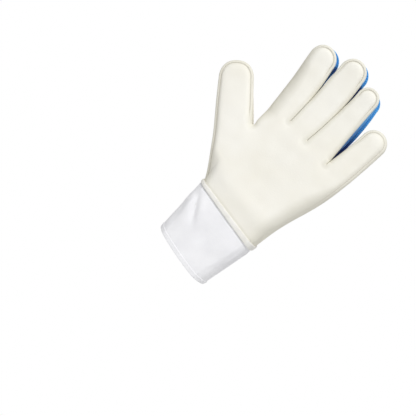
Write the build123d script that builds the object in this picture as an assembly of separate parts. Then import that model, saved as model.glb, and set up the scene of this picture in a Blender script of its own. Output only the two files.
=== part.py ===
"""Left-hand goalkeeper glove: a flat-cut foam palm side, a padded back, side gussets between them,
an elastic cuff and a hook-and-loop wrist strap.

Frame, in millimetres: the origin is the centre of the wrist opening, +Z runs from the wrist to the
fingertips, the palm looks along -Y, and +X points from the thumb to the little finger. Every panel is
a sheet with its own thickness. Where a panel folds at a knuckle it is cut on the fold line, and the
fold's axis lies in the palm side's outer surface, so nothing is pinched when a finger closes.
"""
from build123d import *
import os
from collections import namedtuple
from math import atan2, cos, degrees, hypot, radians, sin

os.makedirs("parts", exist_ok=True)

# Cuff
CUFF_LENGTH = 64.0          # wrist opening to the palm seam, on the cuff's centre line
RIM_HALF_WIDTH = 37.0
RIM_HALF_DEPTH = 24.0
RIM_CORNER = 21.0           # corner radius of the cuff's section
RIM_TILT = 9.3              # degrees, thumb side nearer the fingers
SEAM_HALF_WIDTH = 43.9
SEAM_HALF_DEPTH = 21.0
SEAM_CORNER = 15.0
SEAM_TILT = 7.2
SEAM_SHIFT = 4.0            # the palm sits this far towards the little finger
CUFF_THICKNESS = 2.2
WELT_HEIGHT = 5.5           # tape over the seam between palm and cuff
HEM_HEIGHT = 4.5
TRIM_THICKNESS = 0.9

# Palm and back
PALM_LENGTH = 112.0         # palm seam to the index finger's fold line
PALM_FRONT = -21.0          # outer surface of the palm side
KNUCKLE_BACK = 11.0         # outer surface of the back at the knuckles
FACE_THICKNESS = 4.0        # latex foam with its backing
BACK_THICKNESS = 3.0
WALL_THICKNESS = 1.8        # gusset fabric
FLANGE = 2.5                # seam allowance that stands out past the gussets
LINING_THICKNESS = 1.0
THUMB_SIDE_X = -43.0        # thumb side of the index finger's base
THUMB_CROTCH_IN = 2.0       # the thumb's crotch, from the thumb side of the index finger's base
THUMB_CROTCH_DROP = 33.0
THUMB_ANGLE = 41.15         # between the thumb and +Z
THUMB_SIDE_SAG = 3.7        # how far the outline below the thumb curves inwards
LITTLE_SIDE_SAG = 1.3       # the same on the little finger's side

# Clearances
FOLD_GAP = 0.5              # across a fold
FINGER_GAP = 2.0            # between neighbouring fingers, so that one can close past the next
SKIN_GAP = 0.15             # between curved sheets sewn onto each other
STRAP_GAP = 0.3             # between the strap and what it lies on

# Wrist strap, on the back of the cuff. Angles run about +Z from +X.
STRAP_LOW = 0.20            # as shares of the cuff's length
STRAP_HIGH = 0.82
STRAP_THICKNESS = 2.2
STRAP_FOLD_ANGLE = 38.0     # where the strap is sewn down
STRAP_ANCHOR_ANGLE = 12.0
STRAP_END_ANGLE = 146.0
TAB_ANGLE = 160.0
LOOP_START_ANGLE = 62.0
HOOK_START_ANGLE = 108.0
HOOK_LOW = 0.25
HOOK_HIGH = 0.77
PATCH_THICKNESS = 0.6

# One digit: width at the fold line, how far the fold line drops below the index finger's, sideways
# shift of the tip, fold line to fingertip, tip radius, fold line to the middle joint.
Digit = namedtuple("Digit", "name width drop lean reach tip_radius joint back_base back_tip")
FINGERS = [
    Digit("index", 26.0, 0.0, -7.0, 76.5, 15.0, 36.0, KNUCKLE_BACK, 3.0),
    Digit("middle", 25.5, 0.0, -2.25, 88.0, 13.5, 41.0, KNUCKLE_BACK, 3.0),
    Digit("ring", 30.5, 2.0, 0.75, 80.0, 13.0, 37.0, KNUCKLE_BACK, 3.0),
    Digit("little", 29.8, 5.0, 2.9, 57.5, 14.0, 27.0, KNUCKLE_BACK, 4.0),
]
THUMB = Digit("thumb", 39.2, 0.0, 0.0, 66.3, 17.7, 34.0, 15.0, 6.0)

# Worked out from the sizes above
CAVITY_FRONT = PALM_FRONT + FACE_THICKNESS
FOLD_Z = CUFF_LENGTH + PALM_LENGTH
THUMB_CROTCH = (THUMB_SIDE_X + THUMB_CROTCH_IN, FOLD_Z - THUMB_CROTCH_DROP)
FAR = 400.0                 # longer than the glove, for cutting solids


def seam_end(side):
    """The palm seam's end: side -1 is the thumb's, +1 the little finger's."""
    across = SEAM_HALF_WIDTH * cos(radians(SEAM_TILT))
    rise = SEAM_HALF_WIDTH * sin(radians(SEAM_TILT))
    return (SEAM_SHIFT + side * across, CUFF_LENGTH - side * rise)


def finger_edges():
    """Pairs of x, the two sides of each finger at its fold line."""
    edges, x = [], THUMB_SIDE_X
    for finger in FINGERS:
        edges.append((x, x + finger.width))
        x += finger.width
    return edges


def prism(face, low, high):
    """A flat (x, z) face made solid from y = low to y = high."""
    return extrude(Plane.XZ.offset(-high) * face, amount=high - low)


def depth_band(line_low, line_high):
    """The solid between two straight depth lines, each ((z, y), (z, y)), right across the glove."""
    (z0, a0), (z1, a1) = line_low
    (_, b0), (_, b1) = line_high
    corners = [(a0, z0), (a1, z1), (b1, z1), (b0, z0)]
    return extrude(Plane.YZ * make_face(Polyline(*corners, close=True)), amount=FAR / 2, both=True)


def save(shape, name):
    """Writes one node."""
    solids = shape.solids()
    export_step(solids[0] if len(solids) == 1 else Compound(children=list(solids)), f"parts/{name}.step")


# Digits. Each is drawn from its fold line, v = 0, with its tip towards +Z, and then put in place.
def digit_outline(digit, inset):
    """The digit's flat outline, taken in by inset at its sides and tip, and run on past its fold line."""
    half = digit.width / 2 - inset
    radius = digit.tip_radius - inset
    centre_v = digit.reach - digit.tip_radius
    slope = (digit.tip_radius - digit.width / 2) / centre_v
    below = -2 * FLANGE
    left = digit.lean * below / centre_v - half - slope * below
    right = digit.lean * below / centre_v + half + slope * below
    lean = digit.lean
    edges = [
        Line((left, below), (right, below)),
        Line((right, below), (lean + radius, centre_v)),
        ThreePointArc((lean + radius, centre_v), (lean, centre_v + radius), (lean - radius, centre_v)),
        Line((lean - radius, centre_v), (left, below)),
    ]
    return make_face(edges)


def rows(low, high):
    """A flat strip across the glove from v = low to v = high."""
    return Pos(0, (low + high) / 2) * Rectangle(FAR, high - low)


def half_plane(digit, side):
    """Everything on one side of the digit's centre line."""
    centre_v = digit.reach - digit.tip_radius
    ends = [(digit.lean * v / centre_v, v) for v in (-FAR / 4, FAR / 4)]
    corners = [ends[0], ends[1], (side * FAR / 2, FAR / 4), (side * FAR / 2, -FAR / 4)]
    return make_face(Polyline(*corners, close=True))


def build_digit(digit, place):
    """Palm-side face, back and two gussets, for the lower and the upper part of one digit."""
    inner_base = digit.back_base - BACK_THICKNESS
    inner_tip = digit.back_tip - BACK_THICKNESS
    inner = ((0, inner_base), (digit.reach, inner_tip))
    outer = ((0, digit.back_base), (digit.reach, digit.back_tip))
    front = ((0, CAVITY_FRONT), (digit.reach, CAVITY_FRONT))
    outline = digit_outline(digit, 0)
    ring = digit_outline(digit, FLANGE) - digit_outline(digit, FLANGE + WALL_THICKNESS)
    parts = {"lower": (FOLD_GAP, digit.joint), "upper": (digit.joint + FOLD_GAP, digit.reach)}
    for part, (low, high) in parts.items():
        span = rows(low, high)
        name = f"{digit.name}_{part}"
        save(place * prism(outline & span, PALM_FRONT, CAVITY_FRONT), f"{name}_face")
        back = prism(outline & span, -FAR / 4, FAR / 4) & depth_band(inner, outer)
        save(place * back, f"{name}_back")
        for side, word in ((-1, "outer" if digit is THUMB else "thumb_side"),
                           (1, "inner" if digit is THUMB else "little_side")):
            wall = prism(ring & span & half_plane(digit, side), -FAR / 4, FAR / 4)
            save(place * (wall & depth_band(front, inner)), f"{name}_gusset_{word}")


for finger, (x_low, x_high) in zip(FINGERS, finger_edges()):
    left = x_low if finger is FINGERS[0] else x_low + FINGER_GAP / 2
    right = x_high if finger is FINGERS[-1] else x_high - FINGER_GAP / 2
    build_digit(finger._replace(width=right - left), Pos((left + right) / 2, 0, FOLD_Z - finger.drop))

# The thumb's fold line runs from the crotch, square to the thumb.
thumb_across = (-cos(radians(THUMB_ANGLE)), -sin(radians(THUMB_ANGLE)))
thumb_corner = tuple(c + THUMB.width * a for c, a in zip(THUMB_CROTCH, thumb_across))
thumb_middle = tuple((c + k) / 2 for c, k in zip(THUMB_CROTCH, thumb_corner))
build_digit(THUMB, Pos(thumb_middle[0], 0, thumb_middle[1]) * Rot(0, -THUMB_ANGLE, 0))


# The hand: the flat of the palm and its back, with walls down both sides
def sagged(start, end, sag, inset):
    """Start, middle and end of a side's arc that sags by sag to its left, moved left by inset."""
    along = (end[0] - start[0], end[1] - start[1])
    length = hypot(*along)
    left = (-along[1] / length, along[0] / length)
    middle = tuple((s + e) / 2 + sag * n for s, e, n in zip(start, end, left))
    return [(p[0] + left[0] * inset, p[1] + left[1] * inset) for p in (start, middle, end)]


seam_left = seam_end(-1)
seam_right = seam_end(1)
fold_corners = []
for finger, (x_low, x_high) in zip(FINGERS, finger_edges()):
    fold_corners += [(x_low, FOLD_Z - finger.drop), (x_high, FOLD_Z - finger.drop)]
top_line = [THUMB_CROTCH]
for corner in fold_corners:
    if corner != top_line[-1]:
        top_line.append(corner)
top_line.reverse()
palm_edges = [
    (thumb_corner, seam_left, THUMB_SIDE_SAG),
    (seam_left, seam_right, 0.0),
    (seam_right, top_line[0], LITTLE_SIDE_SAG),
    *[(start, end, 0.0) for start, end in zip(top_line, top_line[1:])],
    (THUMB_CROTCH, thumb_corner, 0.0),
]
palm_outline = make_face([
    ThreePointArc(*sagged(start, end, sag, 0)) if sag else Line(start, end)
    for start, end, sag in palm_edges
])


def strip(start, end, sag, near, far, extend=0.0):
    """A flat strip along one edge, from near to far inside it. A straight one is longer by extend at both ends."""
    first, last = sagged(start, end, sag, near), sagged(start, end, sag, far)
    if sag:
        curves = [ThreePointArc(*first), ThreePointArc(*last)]
        return make_face([*curves, Line(first[2], last[2]), Line(last[0], first[0])])
    length = hypot(end[0] - start[0], end[1] - start[1])
    past = tuple(extend * (e - s) / length for s, e in zip(start, end))
    corners = [
        (first[0][0] - past[0], first[0][1] - past[1]),
        (first[2][0] + past[0], first[2][1] + past[1]),
        (last[2][0] + past[0], last[2][1] + past[1]),
        (last[0][0] - past[0], last[0][1] - past[1]),
    ]
    return make_face(Polyline(*corners, close=True))



back_slope = ((CUFF_LENGTH, SEAM_HALF_DEPTH), (FOLD_Z, KNUCKLE_BACK))


def back_line(depth):
    """The back's straight depth line, taken in by depth, and run on past both ends."""
    (z0, y0), (z1, y1) = back_slope
    rise = (y1 - y0) / (z1 - z0)
    low, high = z0 - CUFF_LENGTH / 2, z1 + CUFF_LENGTH / 2
    return ((low, y0 + rise * (low - z0) - depth), (high, y0 + rise * (high - z0) - depth))


def level_line(y):
    """A depth line that stays at y."""
    (low, _), (high, _) = back_line(0)
    return ((low, y), (high, y))


save(prism(palm_outline, PALM_FRONT, CAVITY_FRONT), "palm_face")
through = prism(palm_outline, -FAR / 4, FAR / 4)
save(through & depth_band(back_line(BACK_THICKNESS), back_line(0)), "back_panel")

lining_inset = FLANGE + WALL_THICKNESS + SKIN_GAP
lining_outline = palm_outline
for start, end, sag in palm_edges:
    lining_outline -= strip(start, end, sag, -FLANGE, lining_inset, lining_inset)
save(prism(lining_outline, CAVITY_FRONT, CAVITY_FRONT + LINING_THICKNESS), "palm_lining")
lining_through = prism(lining_outline, -FAR / 4, FAR / 4)
lining_band = depth_band(back_line(BACK_THICKNESS + LINING_THICKNESS), back_line(BACK_THICKNESS))
save(lining_through & lining_band, "back_lining")

wall_band = depth_band(level_line(CAVITY_FRONT), back_line(BACK_THICKNESS))


def side_wall(start, end, sag):
    """A gusset along one side of the palm, inside the seam allowance. The palm lies left of start to end."""
    face = strip(start, end, sag, FLANGE, FLANGE + WALL_THICKNESS)
    return prism(face & palm_outline, -FAR / 4, FAR / 4) & wall_band


save(side_wall(seam_right, top_line[0], LITTLE_SIDE_SAG), "little_side_wall")
save(side_wall(thumb_corner, seam_left, THUMB_SIDE_SAG), "thumb_side_wall")
save(side_wall(top_line[-2], THUMB_CROTCH, 0.0), "index_side_wall")

webs = []
for (_, z_low), (x, z_next) in zip(fold_corners[1::2], fold_corners[2::2]):
    z_web = min(z_low, z_next) - WALL_THICKNESS / 2
    reach = FLANGE + WALL_THICKNESS
    webs.append(prism(Pos(x, z_web) * Rectangle(2 * reach, WALL_THICKNESS), -FAR / 4, FAR / 4) & wall_band)
thumb_web_corners = [
    tuple(c + (FLANGE) * a for c, a in zip(THUMB_CROTCH, thumb_across)),
    (THUMB_CROTCH[0] + FLANGE - SKIN_GAP, THUMB_CROTCH[1] - SKIN_GAP),
    (THUMB_CROTCH[0] + FLANGE + WALL_THICKNESS, THUMB_CROTCH[1] - WALL_THICKNESS),
    tuple(c + (FLANGE + WALL_THICKNESS) * a for c, a in zip(THUMB_CROTCH, thumb_across)),
]
thumb_web = prism(make_face(Polyline(*thumb_web_corners, close=True)), -FAR / 4, FAR / 4) & wall_band
save(Compound(children=[s for w in webs + [thumb_web] for s in w.solids()]), "finger_webs")


# The cuff: a tube whose section runs straight from the round-cornered rim to the flatter seam
def cuff_section(share, grow):
    """The cuff's rounded section at a share of its length, grown outwards."""
    mix = [(1 - share) * a + share * b for a, b in (
        (0, SEAM_SHIFT),
        (RIM_HALF_WIDTH * cos(radians(RIM_TILT)), SEAM_HALF_WIDTH * cos(radians(SEAM_TILT))),
        (RIM_HALF_WIDTH * sin(radians(RIM_TILT)), SEAM_HALF_WIDTH * sin(radians(SEAM_TILT))),
        (RIM_HALF_DEPTH, SEAM_HALF_DEPTH),
        (RIM_CORNER, SEAM_CORNER),
    )]
    shift, across, drop, depth, corner = mix
    tilt = degrees(atan2(drop, across))
    place = Pos(shift, 0, CUFF_LENGTH * share) * Rot(0, tilt, 0)
    return place * RectangleRounded(2 * (hypot(across, drop) + grow), 2 * (depth + grow), corner + grow)


def cuff_tube(low, high, inner, outer):
    """A ring of the cuff between two shares of its length, from inner to outer growth."""
    solid = loft([cuff_section(low, outer), cuff_section(high, outer)], ruled=True)
    return solid - loft([cuff_section(low, inner), cuff_section(high, inner)], ruled=True)


def sector(start, end):
    """A wedge about the cuff's centre line between two angles."""
    middle = (start + end) / 2
    corners = [(0, 0)] + [(FAR * cos(radians(a)), FAR * sin(radians(a))) for a in (start, middle, end)]
    return extrude(Pos(SEAM_SHIFT / 2, 0) * make_face(Polyline(*corners, close=True)), amount=FAR / 2, both=True)


tube = cuff_tube(0, 1, -CUFF_THICKNESS, 0)
half_gap = Pos(0, -SKIN_GAP / 2 - FAR / 4, 0) * Box(FAR, FAR / 2, FAR)
save(tube & half_gap, "cuff_front")
save(tube & Pos(0, FAR / 2 + SKIN_GAP, 0) * half_gap, "cuff_back")
trim = (SKIN_GAP, SKIN_GAP + TRIM_THICKNESS)
save(cuff_tube(1 - WELT_HEIGHT / CUFF_LENGTH, 1, *trim), "seam_welt")
save(cuff_tube(0, HEM_HEIGHT / CUFF_LENGTH, *trim), "rim_binding")
label_depth = (-CUFF_THICKNESS - SKIN_GAP - PATCH_THICKNESS, -CUFF_THICKNESS - SKIN_GAP)
save(cuff_tube(0.3, 0.7, *label_depth) & sector(196, 216), "care_label")

# The strap: loop panel on the cuff, hook patch, strap, pull tab, and the sewn-down end
loop_depth = (SKIN_GAP, SKIN_GAP + PATCH_THICKNESS)
hook_depth = (loop_depth[1] + STRAP_GAP, loop_depth[1] + STRAP_GAP + PATCH_THICKNESS)
strap_depth = (hook_depth[1] + SKIN_GAP, hook_depth[1] + SKIN_GAP + STRAP_THICKNESS)
hinge_half = degrees(FOLD_GAP / 2 / RIM_HALF_DEPTH)
loop_panel = cuff_tube(STRAP_LOW, STRAP_HIGH, *loop_depth) & sector(LOOP_START_ANGLE, STRAP_END_ANGLE)
save(loop_panel, "loop_panel")
hook_patch = cuff_tube(HOOK_LOW, HOOK_HIGH, *hook_depth) & sector(HOOK_START_ANGLE, STRAP_END_ANGLE)
save(hook_patch, "hook_patch")
strap_ring = cuff_tube(STRAP_LOW, STRAP_HIGH, *strap_depth)
save(strap_ring & sector(STRAP_FOLD_ANGLE + hinge_half, STRAP_END_ANGLE), "wrist_strap")
tab_ring = cuff_tube(HOOK_LOW, HOOK_HIGH, strap_depth[0] + SKIN_GAP, strap_depth[1] - SKIN_GAP)
save(tab_ring & sector(STRAP_END_ANGLE, TAB_ANGLE), "pull_tab")
anchor_ring = cuff_tube(STRAP_LOW, STRAP_HIGH, loop_depth[0], strap_depth[1])
save(anchor_ring & sector(STRAP_ANCHOR_ANGLE, STRAP_FOLD_ANGLE - hinge_half), "strap_anchor")
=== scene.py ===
"""Looks of a left-hand goalkeeper glove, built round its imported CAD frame.

Sizes are in millimetres and turned to metres where a mesh is made. +Z runs to the fingertips, the palm
looks along -Y and +X points from the thumb to the little finger.
"""
import math

import bmesh
import bpy
import numpy as np
from mathutils import Matrix, Vector
from mathutils.geometry import delaunay_2d_cdt


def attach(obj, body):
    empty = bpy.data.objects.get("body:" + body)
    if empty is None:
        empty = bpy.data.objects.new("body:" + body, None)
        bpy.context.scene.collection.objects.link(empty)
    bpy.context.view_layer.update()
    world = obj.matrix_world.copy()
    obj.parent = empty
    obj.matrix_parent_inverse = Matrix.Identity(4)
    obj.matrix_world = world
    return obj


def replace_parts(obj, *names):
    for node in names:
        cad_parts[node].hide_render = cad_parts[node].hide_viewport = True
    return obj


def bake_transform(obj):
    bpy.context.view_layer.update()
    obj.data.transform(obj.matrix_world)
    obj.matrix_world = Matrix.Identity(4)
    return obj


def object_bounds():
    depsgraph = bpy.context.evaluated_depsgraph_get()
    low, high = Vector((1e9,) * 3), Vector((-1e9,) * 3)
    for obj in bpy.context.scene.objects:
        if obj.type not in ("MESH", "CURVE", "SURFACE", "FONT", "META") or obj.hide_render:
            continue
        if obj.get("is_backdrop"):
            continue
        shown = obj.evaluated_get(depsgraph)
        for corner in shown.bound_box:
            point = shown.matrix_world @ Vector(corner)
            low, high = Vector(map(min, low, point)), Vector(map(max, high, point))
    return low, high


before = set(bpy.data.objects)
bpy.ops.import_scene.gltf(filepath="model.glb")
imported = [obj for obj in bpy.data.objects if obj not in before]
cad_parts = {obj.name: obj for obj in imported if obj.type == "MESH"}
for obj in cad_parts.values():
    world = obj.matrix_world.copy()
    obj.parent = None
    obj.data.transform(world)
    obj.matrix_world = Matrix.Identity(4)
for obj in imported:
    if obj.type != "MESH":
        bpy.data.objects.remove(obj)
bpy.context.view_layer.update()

# ---------------------------------------------------------------------------------------------------
# The cut. Palm side and back are each one sheet, slit between the fingers and sewn to the gussets with
# the seam allowance outside. This section lays out the line they are cut along, in x and z.
# ---------------------------------------------------------------------------------------------------
SEAM_LEFT = (-39.6, 70.0)
THUMB_BASE = (-55.5, 129.9)
THUMB_ANGLE = math.radians(41.15)
THUMB_ALONG = np.array([-math.sin(THUMB_ANGLE), math.cos(THUMB_ANGLE)])
THUMB_ACROSS = np.array([math.cos(THUMB_ANGLE), math.sin(THUMB_ANGLE)])
THUMB_HALF, THUMB_STRAIGHT = 19.2, 46.0  # its outer half width, and its length below the round tip
CROTCHES = {"middle": (-17.0, 173.0), "ring": (8.5, 171.0), "little": (39.0, 168.0)}
# How far up the fingers touch, and the bow of the line that they touch on
CLOSED_TO = {"middle": (-18.4, 208.0, 0.2), "ring": (10.7, 220.0, 0.7), "little": (39.2, 173.0, 0.0)}
# Fold line, distance from it to the middle joint, and where the lower part's piece ends
FOLDS = {"thumb": (0.0, 34.0, 20.0), "index": (176.0, 36.0, 21.0), "middle": (176.0, 41.0, 24.0),
         "ring": (174.0, 37.0, 21.0), "little": (171.0, 27.0, 17.0)}
DIGITS = list(FOLDS)
# Each finger's tip centre x, z and radius, then how far each side bows out, thumb side first. Then the
# thumb's inner side at its tip and its root, the little finger's outer corner, the seam's end, and half the
# slit's width where fingers touch. The back's slit is wider, so that a finger can bend past the next.
PALM_TIPS = {"index": (-38.1, 238.0, 14.7, 0.0, 0.5), "middle": (-6.4, 249.7, 14.2, 0.0, 0.5),
             "ring": (22.6, 241.9, 11.7, -0.4, -0.5), "little": (57.3, 214.9, 13.6, -0.5, 0.0),
             "thumb": (16.7, 18.2), "corner": (68.4, 171.0), "seam": (45.6, 59.2), "slit": 0.05}
BACK_TIPS = {"index": (-37.8, 238.0, 15.2, 0.0, -1.0), "middle": (-5.8, 249.0, 14.6, 0.0, 0.3),
             "ring": (23.6, 239.2, 12.4, -0.4, 2.4), "little": (56.4, 214.4, 13.0, -0.5, 0.0),
             "thumb": (13.0, 16.2), "corner": (66.2, 171.0), "seam": (44.4, 59.3), "slit": 1.2}


def side(start, end, bow, count):
    """A line from start to end, pushed to the left of travel by a parabola bow deep."""
    q = np.linspace(0, 1, count, endpoint=False)[:, None]
    start, end = np.array(start, float), np.array(end, float)
    along = (end - start) / np.linalg.norm(end - start)
    left = np.array([-along[1], along[0]])
    return start + (end - start) * q + left * bow * 4 * q * (1 - q)


def tip(centre, half_width, height, count=30, power=2.0):
    """Half a superellipse over the fingertip, from the thumb side to the other."""
    a = np.linspace(math.pi, 0, count, endpoint=False)
    x = np.sign(np.cos(a)) * np.abs(np.cos(a)) ** (2 / power) * half_width
    z = np.abs(np.sin(a)) ** (2 / power) * height
    return np.stack([centre[0] + x, centre[1] + z], 1)


def bend(a, corner, b, count):
    """A quadratic Bezier round a corner."""
    q = np.linspace(0, 1, count, endpoint=False)[:, None]
    return (1 - q) ** 2 * np.array(a) + 2 * q * (1 - q) * np.array(corner) + q ** 2 * np.array(b)


def thumb_point(across, along):
    """A point given from the middle of the thumb's fold line."""
    return tuple(np.array(THUMB_BASE) + across * THUMB_ACROSS + along * THUMB_ALONG)


# How the sheet's edge lies at each kind of place: how deep and how wide it rolls over, how much of a flat
# seam allowance shows, and how far two edges that touch are pressed up flush.
PALM_EDGE = {"seam": (9.0, 14.0, 0.7, 0.0), "thumb_root": (3.6, 8.0, 1.0, 0.0),
             "thumb_outer": (2.4, 6.0, 1.0, 0.0), "thumb_inner": (2.0, 6.0, 1.0, 0.0),
             "crook": (2.5, 7.0, 0.1, 0.0), "index_side": (11.5, 17.0, 0.0, 0.0),
             "index_tip": (4.5, 9.0, 0.35, 0.0), "tip": (1.6, 6.0, 1.0, 0.0), "inner": (2.0, 5.8, 0.1, 0.0),
             "closed": (0.2, 6.0, 0.0, 1.0), "shut": (0.0, 6.0, 0.0, 1.4),
             "little_side": (3.4, 8.0, 0.8, 0.0), "ulnar": (13.0, 17.0, 0.15, 0.0)}
BACK_EDGE = {"seam": (11.0, 16.0, 0.5, 0.0), "thumb_root": (6.5, 13.0, 1.0, 0.0),
             "thumb_outer": (2.0, 7.0, 1.0, 0.0), "thumb_inner": (2.0, 7.0, 1.0, 0.0),
             "crook": (2.5, 7.0, 1.0, 0.0), "index_side": (2.6, 8.0, 1.0, 0.0),
             "index_tip": (2.4, 8.0, 1.0, 0.0), "tip": (2.0, 7.0, 1.0, 0.0), "inner": (2.4, 7.0, 1.0, 0.0),
             "closed": (1.6, 6.0, 0.6, 0.2), "shut": (1.6, 6.0, 0.6, 0.2),
             "little_side": (3.0, 9.0, 1.0, 0.0), "ulnar": (12.0, 17.0, 0.5, 0.0)}


def cut_line(tips, kinds):
    """Points of the cut, which digit owns each, and how its edge lies there. The line runs from the seam up
    the thumb's side, over each tip and down into each slit, and ends at the seam on the little finger's side.
    kinds gives the edge at the named places, and a smooth step leads from one to the next."""
    runs = []
    thumb, corner, seam_right, slit = tips["thumb"], tips["corner"], tips["seam"], tips["slit"]

    def run(points, owner, *stops):
        q = np.linspace(0, 1, len(points))
        places = [stop[0] for stop in stops]
        step = np.clip(np.searchsorted(places, q, side="right") - 1, 0, len(stops) - 2)
        low, high = np.array(places)[step], np.array(places)[step + 1]
        q = ((q - low) / (high - low))[:, None]
        q = q * q * (3 - 2 * q)
        edge = np.array([kinds[stop[1]] for stop in stops])
        runs.append((points, owner, edge[step] * (1 - q) + edge[step + 1] * q))

    low_left = (SEAM_LEFT[0] + 0.6, SEAM_LEFT[1] - 3.0)
    root, shoulder = thumb_point(-20.4, 0), thumb_point(-THUMB_HALF, THUMB_STRAIGHT)
    inner_tip, inner_root = thumb_point(thumb[0], THUMB_STRAIGHT), thumb_point(thumb[1], 4)
    run(side(low_left, SEAM_LEFT, 0, 3), "thumb", (0, "seam"), (1, "seam"))
    run(side(SEAM_LEFT, root, -1.6, 40), "thumb", (0, "seam"), (0.3, "thumb_root"), (1, "thumb_root"))
    run(side(root, shoulder, 0.3, 40), "thumb", (0, "thumb_root"), (1, "thumb_outer"))
    middle, half = (thumb[0] - THUMB_HALF) / 2, (thumb[0] + THUMB_HALF) / 2
    local = tip((middle, 0), half, THUMB_HALF, power=2.25)
    points = (np.array(THUMB_BASE) + local[:, :1] * THUMB_ACROSS
              + (THUMB_STRAIGHT + local[:, 1:]) * THUMB_ALONG)
    run(points, "thumb", (0, "thumb_outer"), (1, "thumb_inner"))
    run(side(inner_tip, inner_root, 0.2, 36), "thumb", (0, "thumb_inner"), (0.7, "thumb_inner"), (1, "crook"))
    crotch, index_start = thumb_point(19.3, -1.9), (-42.1, 149.0)
    curve = bend(inner_root, crotch, index_start, 14)
    run(curve[:7], "thumb", (0, "crook"), (1, "crook"))
    run(curve[7:], "index", (0, "crook"), (1, "crook"))
    x, z, radius, bow_left, _ = tips["index"]
    run(side(index_start, (x - radius, z), bow_left, 66), "index", (0, "crook"), (0.2, "index_side"),
        (0.6, "index_side"), (1, "index_tip"))
    run(tip((x, z), radius, radius), "index", (0, "index_tip"), (0.4, "tip"), (1, "tip"))
    for name, following in (("index", "middle"), ("middle", "ring"), ("ring", "little")):
        x, z, radius, _, bow_right = tips[name]
        cx, cz = CROTCHES[following]
        meet_x, meet_z, bow = CLOSED_TO[following]
        touching = max(8, int((meet_z - cz) / 1.2))
        before, after = (meet_x - slit, meet_z), (meet_x + slit, meet_z)
        run(side((x + radius, z), before, bow_right, 40), name, (0, "tip"), (0.45, "inner"), (1, "inner"))
        run(side(before, (cx - slit, cz), bow, touching), name, (0, "inner"), (0.45, "closed"), (1, "shut"))
        a = np.linspace(math.pi, 2 * math.pi, 10, endpoint=False)
        curve = np.stack([cx + slit * np.cos(a), cz + slit * np.sin(a)], 1)
        run(curve[:5], name, (0, "shut"), (1, "shut"))
        run(curve[5:], following, (0, "shut"), (1, "shut"))
        run(side((cx + slit, cz), after, -bow, touching), following, (0, "shut"), (0.55, "closed"),
            (1, "inner"))
        x, z, radius, bow_left, _ = tips[following]
        run(side(after, (x - radius, z), bow_left, 40), following, (0, "inner"), (0.55, "inner"), (1, "tip"))
        last = "little_side" if following == "little" else "tip"
        run(tip((x, z), radius, radius), following, (0, "tip"), (1, last))
    run(side((x + radius, z), corner, 0.2, 32), "little", (0, "little_side"), (1, "little_side"))
    q = np.linspace(1, 0, 84)
    hollow = q - 0.07 * np.sin(2 * math.pi * q)
    ulnar_side = np.stack([seam_right[0] + (corner[0] - seam_right[0]) * hollow,
                           seam_right[1] + (corner[1] - seam_right[1]) * q], 1)
    run(ulnar_side, "little", (0, "little_side"), (0.5, "ulnar"), (1, "ulnar"))
    end = np.array([(seam_right[0] - 0.1, seam_right[1] - 1.5), (seam_right[0] - 0.2, seam_right[1] - 3.0)])
    run(end, "little", (0, "ulnar"), (1, "ulnar"))
    line = np.concatenate([r[0] for r in runs])
    owner = np.concatenate([np.full(len(r[0]), DIGITS.index(r[1])) for r in runs])
    return line, owner, np.concatenate([r[2] for r in runs])


# ---------------------------------------------------------------------------------------------------
# The cuff's section. The cuff is a sewn tube, rounder at the rim than at the palm; the palm side and
# the back are shaped to meet it, so its formula comes first.
# ---------------------------------------------------------------------------------------------------
CUFF_LENGTH = 64.0
# At the rim and at the seam with the palm: the section's place in x, its half width and half depth, its
# corner's radius and its tilt in degrees
RIM_SHIFT, SEAM_SHIFT = -1.6, 2.6
RIM_HALF_WIDTH, SEAM_HALF_WIDTH = 36.2, 43.3
RIM_HALF_DEPTH, SEAM_HALF_DEPTH = 24.0, 21.0
RIM_CORNER, SEAM_CORNER = 21.0, 15.0
RIM_TILT, SEAM_TILT = 9.3, 7.2
RIM_BOW = 2.6                           # how far the rim dips in the middle of the palm side


def cuff_at(theta, share, grow=0.0):
    """A point of the cuff's outside. A circle of the corner's radius rides round a smaller rectangle; both
    change evenly from the rim, share 0, to the seam, share 1. grow moves it outwards."""
    theta, share, grow = np.broadcast_arrays(*(np.asarray(v, float) for v in (theta, share, grow)))
    half_width = RIM_HALF_WIDTH + (SEAM_HALF_WIDTH - RIM_HALF_WIDTH) * share
    half_depth = RIM_HALF_DEPTH + (SEAM_HALF_DEPTH - RIM_HALF_DEPTH) * share
    corner = RIM_CORNER + (SEAM_CORNER - RIM_CORNER) * share
    tilt = np.radians(RIM_TILT + (SEAM_TILT - RIM_TILT) * share)
    c, s = np.cos(theta), np.sin(theta)
    across = (half_width - corner) * np.clip(1.9 * c, -1, 1) + (corner + grow) * c
    depth = (half_depth - corner) * np.clip(1.9 * s, -1, 1) + (corner + grow) * s
    x = RIM_SHIFT + (SEAM_SHIFT - RIM_SHIFT) * share + across * np.cos(tilt)
    z = CUFF_LENGTH * share - across * np.sin(tilt)
    z = z - RIM_BOW * np.maximum(0, -s) ** 2 * (1 - share) ** 2
    return np.stack([x, depth, z], -1)


half_turn = np.linspace(0, math.pi, 181)
back_rim = cuff_at(half_turn, 1.0)[::-1]
front_rim = cuff_at(-half_turn, 1.0)[::-1]


# ---------------------------------------------------------------------------------------------------
# The two sheets: latex foam on the palm side, padded fabric on the back. Each is flat inside, sinks to
# a line of stitches near its edge and ends in a thick raw edge outside the stitches.
# ---------------------------------------------------------------------------------------------------
def smooth(value, low, high):
    """0 below low, 1 above high, and a smooth step between."""
    q = np.clip((value - low) / (high - low), 0, 1)
    return q * q * (3 - 2 * q)


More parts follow.
